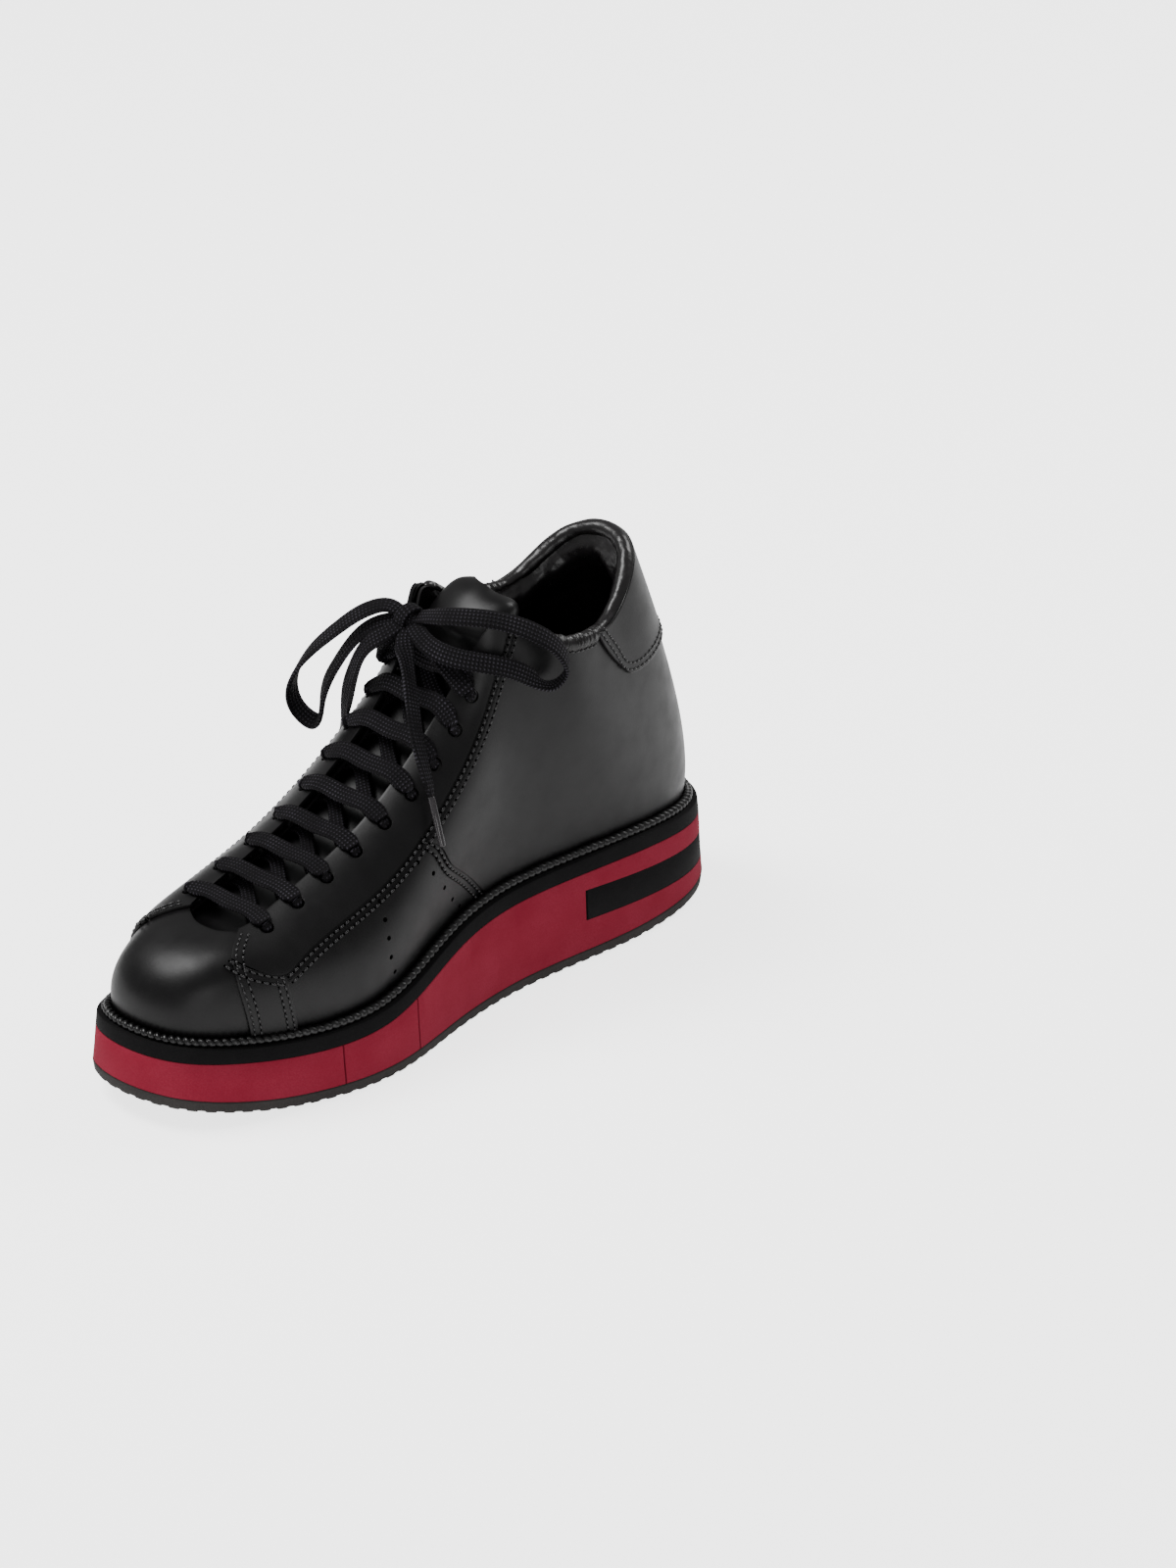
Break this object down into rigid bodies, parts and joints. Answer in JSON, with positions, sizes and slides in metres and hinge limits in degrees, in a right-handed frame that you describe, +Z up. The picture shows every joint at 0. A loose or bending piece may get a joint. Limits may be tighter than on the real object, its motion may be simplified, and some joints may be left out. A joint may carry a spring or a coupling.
{
  "type": "basketball high top",
  "caption": "Lace-up leather high-top shoe on a thick layered platform sole, with padded collar, perforated sides and sprung tongue.",
  "frame": {"origin": "centre of the sole's footprint on the floor", "axes": "+Z up, toe towards -Y, the wearer's left at +X, which is the inner side of this right shoe"},
  "size_m": [0.0995, 0.2912, 0.1573],
  "materials": {
    "rubber_dark_grey": "moulded, matt",
    "foam_red": "cut and sanded foam rubber, matt",
    "foam_black": "cut and sanded foam rubber, matt",
    "leather_welt": "gathered and stitched, satin",
    "board_brown": "pressed fibre board, matt",
    "leather_sock": "satin",
    "leather_black": "smooth, semi-gloss",
    "leather_lining": "soft, satin",
    "leather_tongue": "smooth, semi-gloss",
    "cotton_lace": "flat braid, waxed",
    "plastic_aglet": "rolled film, glossy"
  },
  "bodies": {
    "shoe": {"outsole": "rubber_dark_grey", "midsole_toe_block": "foam_red", "midsole_ball_block": "foam_red", "midsole_heel_wedge": "foam_red", "heel_inlay": "foam_black", "midsole_top_layer": "foam_black", "welt": "leather_welt", "insole_board": "board_brown", "sockliner": "leather_sock", "vamp": "leather_black", "eyestay_L": "leather_black", "eyestay_R": "leather_black", "side_tab_L": "leather_black", "side_tab_R": "leather_black", "front_quarter_L": "leather_black", "front_quarter_R": "leather_black", "rear_quarter_L": "leather_black", "rear_quarter_R": "leather_black", "lining_L": "leather_lining", "lining_R": "leather_lining", "vamp_lining": "leather_lining", "heel_tab": "leather_black", "back_stay": "leather_black", "collar_pad": "leather_lining", "lace_run": "cotton_lace", "lace_lead_L": "cotton_lace", "lace_lead_R": "cotton_lace", "lace_knot": "cotton_lace", "lace_loop_A": "cotton_lace", "lace_loop_B": "cotton_lace", "lace_end_A": "cotton_lace", "lace_end_B": "cotton_lace", "aglet_A": "plastic_aglet", "aglet_B": "plastic_aglet"},
    "tongue": {"tongue": "leather_tongue"}
  },
  "joints": [
    {"name": "tongue_hinge", "type": "hinge", "parent": "shoe", "child": "tongue", "pos_m": [0.004, -0.1, 0.0585], "axis": [1, 0, 0], "range_deg": [-8, 0], "stiffness_Nm_per_rad": 0.2}
  ]
}
